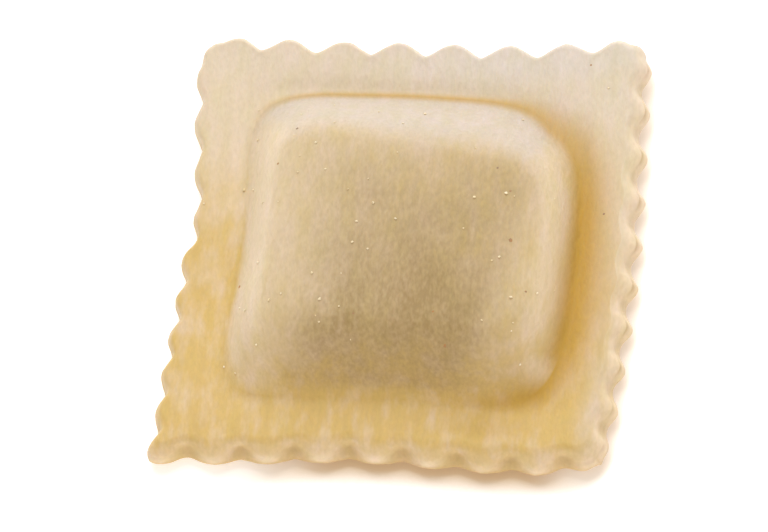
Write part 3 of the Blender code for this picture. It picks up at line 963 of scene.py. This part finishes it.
# One joined mesh of small angular grains, lying on the upper face of the dough.
def makeGrains(name, kind, material, sheet):
    picker = random.Random(kind["seed"])
    faces = [face for face in sheet.polygons if face.material_index == 0]
    half = grainShape["pillow"] * max(high.x - low.x, high.y - low.y) / 2.0
    onPillow = [face for face in faces if max(abs(face.center.x), abs(face.center.y)) < half]
    shape = bmesh.new()
    bmesh.ops.create_icosphere(shape, subdivisions=1, radius=0.5)
    corners = [corner.co.copy() for corner in shape.verts]
    sides = [[corner.index for corner in face.verts] for face in shape.faces]
    shape.free()
    points = []
    polygons = []
    for _ in range(kind["count"]):
        face = picker.choice(onPillow if picker.random() < kind["onPillow"] else faces)
        width = picker.uniform(*kind["size"]) * mm
        length = width * picker.uniform(*grainShape["stretch"])
        height = width * picker.uniform(*kind["flatness"])
        spin = Quaternion((0, 0, 1), picker.uniform(0, math.tau))
        turn = face.normal.to_track_quat("Z", "Y") @ spin
        start = len(points)
        for corner in corners:
            dent = 1.0 + picker.uniform(-grainShape["dent"], grainShape["dent"])
            place = Vector((corner.x * width, corner.y * length,
                            (corner.z + 0.5 - kind["sunk"]) * height))
            points.append(face.center + turn @ (place * dent))
        polygons += [[start + index for index in side] for side in sides]
    mesh = bpy.data.meshes.new(name)
    mesh.from_pydata(points, [], polygons)
    mesh.materials.append(material)
    piece = addObject(name, mesh)
    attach(piece, "root")
    return piece


# Grains take their colour from two tones, mottled finely and from grain to grain.
def grainMaterial(name, kind):
    material, tree, _ = newMaterial(name)
    mottle = placeGroup(tree, doughMottle, grainShape["mottle"])
    tone = mixColours(tree, mottle["Patches"], *kind["tones"])
    flecks = mottle["Flecks"]
    finish(tree, tone, flecks, flecks, kind["roughness"], grainShape["bump"])
    return material


def semolinaMaterial():
    return grainMaterial("semolina", semolina)


def branMaterial():
    return grainMaterial("bran", bran)


# A pale table that glows a little, in a warm room with one large cool window on the far side
# and a reflector low on the near side.
studio = {
    "floorSize": 10.0,       # metres across
    "floorColour": (0.94, 0.94, 0.94, 1.0),
    "floorGlow": 0.47,
    "floorRoughness": 0.9,
    "floorSpecular": 0.1,
    # The raviolo's own shade on the floor lies on its near side only.
    "shadeReach": 4.8,       # how far it runs, in mm
    "shadeFrom": (0.04, 0.66, 0.74),         # the side that it falls away from
    "shadeDeep": 0.45,       # share of open sky at which it is deepest
    "shadeTint": (0.56, 0.41, 0.25, 1.0),
    "shadeEnds": ((-3.0, -19.0, 0.85), (13.0, 20.0, 0.45)),  # from, to, and how much it thins
    "roomLight": 0.56,
    "roomColour": (1.03, 0.99, 0.93, 1.0),
    "backdrop": 1.3,         # brightness of what lies past the floor
    # Each light: strength, colour, spread in degrees, and where it shines from.
    "lights": {
        "window": (2.6, (0.94, 0.99, 1.08), 50.0, (-0.03, 0.70, 0.70)),
        "reflector": (1.1, (1.0, 0.96, 0.92), 60.0, (0.20, -0.94, 0.25)),
    },
}


def makeFloor():
    half = studio["floorSize"] / 2.0
    mesh = bpy.data.meshes.new("floor")
    mesh.from_pydata([(-half, -half, 0), (half, -half, 0), (half, half, 0), (-half, half, 0)],
                     [], [(0, 1, 2, 3)])
    floor = addObject("floor", mesh)
    material, tree, shader = newMaterial("paleFloor")
    side = addNode(tree, "ShaderNodeCombineXYZ", enumerate(studio["shadeFrom"]))
    shade = addNode(tree, "ShaderNodeAmbientOcclusion", {
        "Normal": side.outputs[0], "Distance": studio["shadeReach"] * mm}, samples=16)
    clear = addNode(tree, "ShaderNodeMapRange", {
        "Value": shade.outputs["AO"], "From Min": studio["shadeDeep"]},
        interpolation_type="SMOOTHSTEP")
    place = addNode(tree, "ShaderNodeNewGeometry").outputs["Position"]
    across = addNode(tree, "ShaderNodeSeparateXYZ", {0: place}).outputs["X"]
    mask = clear.outputs[0]
    for start, end, share in studio["shadeEnds"]:
        thinner = addNode(tree, "ShaderNodeMapRange", {
            "Value": across, "From Min": start * mm, "From Max": end * mm, "To Max": share},
            interpolation_type="SMOOTHSTEP")
        mask = arithmetic(tree, "MAXIMUM", mask, thinner.outputs[0])
    tint = mixColours(tree, mask, studio["shadeTint"], (1.0, 1.0, 1.0, 1.0))
    floorColour = mixColours(tree, 1.0, tint, studio["floorColour"], blend="MULTIPLY")
    feed(tree, shader, {"Base Color": floorColour, "Emission Color": tint,
                        "Emission Strength": studio["floorGlow"],
                        "Roughness": studio["floorRoughness"],
                        "Specular IOR Level": studio["floorSpecular"]})
    mesh.materials.append(material)


def makeLight():
    world = bpy.data.worlds.new("softRoom")
    scene.world = world
    world.use_nodes = True
    tree = world.node_tree
    tree.nodes.clear()
    seen = addNode(tree, "ShaderNodeLightPath").outputs["Is Camera Ray"]
    room, backdrop = [
        addNode(tree, "ShaderNodeBackground", {"Color": tint, "Strength": strength}).outputs[0]
        for tint, strength in ((studio["roomColour"], studio["roomLight"]),
                               ((1.0, 1.0, 1.0, 1.0), studio["backdrop"]))]
    either = addNode(tree, "ShaderNodeMixShader", enumerate((seen, room, backdrop)))
    addNode(tree, "ShaderNodeOutputWorld", {"Surface": either.outputs[0]})

    for name, (strength, tint, spread, source) in studio["lights"].items():
        lamp = bpy.data.lights.new(name, "SUN")
        lamp.energy = strength
        lamp.color = tint
        lamp.angle = math.radians(spread)
        light = addObject(name, lamp)
        light.rotation_mode = "QUATERNION"
        light.rotation_quaternion = Vector(source).to_track_quat("Z", "Y")
    scene.view_settings.view_transform = "Standard"


# The camera looks down on the raviolo from the near side and a little from the right.
# Angles are in degrees, and the distance and the clip in metres.
shot = {
    "azimuth": 26.8,
    "elevation": 62.2,
    "roll": -23.3,
    "distance": 0.8,
    "lens": 383.8,
    "clip": (0.01, 20.0),
    "aside": (-2.29, -0.52),     # mm, so that the raviolo lies right of the middle
}


def makeCamera():
    azimuth, elevation, roll = [math.radians(shot[key])
                                for key in ("azimuth", "elevation", "roll")]
    back = Vector((math.sin(azimuth) * math.cos(elevation),
                   -math.cos(azimuth) * math.cos(elevation), math.sin(elevation)))
    level = Vector((math.cos(azimuth), math.sin(azimuth), 0.0))
    upright = back.cross(level)
    right = math.cos(roll) * level + math.sin(roll) * upright
    up = -math.sin(roll) * level + math.cos(roll) * upright
    data = bpy.data.cameras.new("camera")
    data.lens = shot["lens"]
    data.clip_start, data.clip_end = shot["clip"]
    camera = addObject("camera", data)
    turn = Matrix((right, up, back)).transposed()
    spot = back * shot["distance"] + (right * shot["aside"][0] + up * shot["aside"][1]) * mm
    camera.matrix_world = Matrix.Translation(spot) @ turn.to_4x4()
    scene.camera = camera


makeCamera()
makeFloor()
makeLight()
print("studio and camera ready")
ravioli = makeRavioli()
print("raviolo made:", len(ravioli.data.polygons), "faces")
makeGrains("semolinaGrains", semolina, semolinaMaterial(), ravioli.data)
makeGrains("branFlecks", bran, branMaterial(), ravioli.data)
print("grains and flecks scattered")
